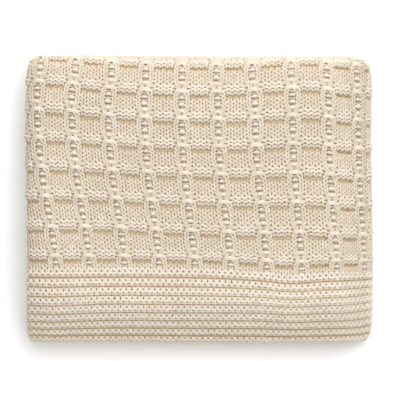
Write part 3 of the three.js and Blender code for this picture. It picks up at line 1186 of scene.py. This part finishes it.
yarnChoices = {
    # pale is the palest yarn and also a painted highlight on high yarn; deep and pit are painted shade
    # for yarn that lies low or in a pit
    "pale": colour(0.765, 0.698, 0.612),
    "cream": colour(0.618, 0.536, 0.43),
    "deep": colour(0.57, 0.455, 0.31),
    "pit": colour(0.42, 0.305, 0.165),
    "floatShade": colour(0.42, 0.325, 0.18),    # painted shade of the yarn that runs straight behind a cable
    "pitBelow": -4.0,      # lifts where the yarn has the painted shade of a pit, that of deep yarn, none of these any more, and where it is palest as a painted highlight
    "deepBelow": -1.0,     # these any more, and where it is palest
    "clearAbove": 2.2,
    "paleAbove": 5.5,
    "paleByLift": 0.5,     # what makes the yarn paler, and by how much: lift as a painted highlight, tint partly as painted light, patches as its own tone
    "paleByTint": 0.8,
    "paleByPatch": 0.4,
    "paleFrom": 0.25,
    "patchScale": 14.0,
    "deepMost": 0.88,      # largest share of the deep colour, the painted shade of low yarn
    "plyShade": 0.12,      # and the painted shade added between the plies
    "plies": 3,
    "plyPitch": 6.5,
    "plyDepth": 0.22,
    "fuzzScale": 900.0,
    "fuzzDepth": 0.12,
    "fuzzLift": 1.2,       # how far the fuzz blurs the edge of the deep painted shade
    "roughness": (0.84, 0.96),
}


def makeYarnMaterial(choices):
    made = Material("cotton yarn")
    along, around = made.uv("yarn")
    tint, lift = made.attribute("tint"), made.attribute("lift")
    ply = (around * choices["plies"] + along / choices["plyPitch"]).sine() * 0.5 + 0.5
    fuzz, patches = made.noise(choices["fuzzScale"]), made.noise(choices["patchScale"])
    # paler where the yarn lies high, a painted highlight, where its tint says, and in patches of its own
    # tone
    pale = (lift.rise(choices["clearAbove"], choices["paleAbove"]) * choices["paleByLift"]
            + tint * choices["paleByTint"] + patches * choices["paleByPatch"] - choices["paleFrom"])
    body = made.mixed(pale.between(0, 1), choices["cream"], choices["pale"])
    fuzzyLift = lift + (fuzz - 0.5) * choices["fuzzLift"]
    # low yarn takes the deep and pit colours as painted shade
    depth = (1 - fuzzyLift.rise(choices["deepBelow"], choices["clearAbove"])) * choices["deepMost"]
    # painted shade in the crevices between the plies
    plyGrooveShade = (1 - ply) ** 3 * choices["plyShade"]
    outOfPit = lift.rise(choices["pitBelow"], choices["deepBelow"])
    deep = made.mixed(outOfPit, choices["pit"], choices["deep"])
    deep = made.mixed(tint.rise(0, knitChoices["leastTint"]), choices["floatShade"], deep)
    made.set(Base_Color=made.mixed((depth + plyGrooveShade).between(0, 1), body, deep),
             Roughness=mix(*choices["roughness"], fuzz), **cottonFinish)
    made.set(Normal=made.bump(ply * choices["plyDepth"] + fuzz * choices["fuzzDepth"]))
    return made.data


clothChoices = {
    "cream": colour(0.64, 0.54, 0.40),
    # deep is painted shade for the low parts of the stitches
    "deep": colour(0.50, 0.39, 0.25),
    "wale": 7.08,
    "row": 4.57,
    "legSlant": 1.6,     # rows that a leg of a stitch climbs in one wale
    "legShare": 0.6,     # of the height, the rest being the roundness of the wale
    "knitDepth": 1.1,
    "fuzzScale": 900.0,
    "fuzzDepth": 0.12,
    "roughness": (0.86, 0.96),
}


def makeClothMaterial(choices):
    made = Material("knitted cloth")
    across, along = made.uv("cloth")
    wale, row = across / choices["wale"], along / choices["row"]
    fuzz = made.noise(choices["fuzzScale"])
    # plain stitches: two slanting legs in each wale
    roundness = (wale * 0.5).sine().size()
    legs = (wale.backAndForth(0.5) * choices["legSlant"] + row).sine() * 0.5 + 0.5
    height = mix(roundness, legs, choices["legShare"]).between(0, 1)
    # the low parts of the stitches are painted in the deep colour as shade
    made.set(Base_Color=made.mixed((1 - height) ** 2, choices["cream"], choices["deep"]),
             Roughness=mix(*choices["roughness"], fuzz), **cottonFinish)
    made.set(Normal=made.bump(height * choices["knitDepth"] + fuzz * choices["fuzzDepth"]))
    return made.data


yarnMaterial = makeYarnMaterial(yarnChoices)
addToThrow(sheet, makeClothMaterial(clothChoices))
for piece in knitted:
    addToThrow(piece, yarnMaterial)
print("materials made")


# Floor and light

roomChoices = {
    "floorSize": 12.0,
    "floorColour": colour(0.93, 0.93, 0.93),
    "floorRoughness": 0.9,
    "floorShine": 0.2,
    "skyColour": colour(1.0, 1.0, 1.0),
    "skyStrength": 0.5,
    "lights": {    # place and size in metres, and power in watts
        "key": ((0.4, 0.65, 2.0), 1.9, 36.5),
        "rim": ((0.1, 1.8, 0.55), 1.5, 22.0),
        "fill": ((0.1, -1.8, 1.4), 2.0, 15.0),
    },
}


def makeFloor(choices):
    half = choices["floorSize"] / 2
    data = bpy.data.meshes.new("floor")
    data.from_pydata([(-half, -half, 0), (half, -half, 0), (half, half, 0), (-half, half, 0)], [],
                     [(0, 1, 2, 3)])
    floor = bpy.data.objects.new("floor", data)
    bpy.context.scene.collection.objects.link(floor)
    paint = Material("floor")
    paint.set(Base_Color=choices["floorColour"], Roughness=choices["floorRoughness"],
              Specular_IOR_Level=choices["floorShine"])
    data.materials.append(paint.data)


def makeLight(name, place, size, power):
    data = bpy.data.lights.new(name, "AREA")
    data.size, data.energy = size, power
    light = bpy.data.objects.new(name, data)
    light.location = place
    light.rotation_euler = (-Vector(place)).to_track_quat("-Z", "Y").to_euler()
    bpy.context.scene.collection.objects.link(light)


def makeSky(choices):
    world = bpy.data.worlds.new("sky")
    world.use_nodes = True
    inputs = world.node_tree.nodes["Background"].inputs
    inputs["Color"].default_value = choices["skyColour"]
    inputs["Strength"].default_value = choices["skyStrength"]
    bpy.context.scene.world = world


makeFloor(roomChoices)
for name, (place, size, power) in roomChoices["lights"].items():
    makeLight(name, place, size, power)
makeSky(roomChoices)
bpy.context.scene.view_settings.view_transform = "Standard"
print("floor and light ready")
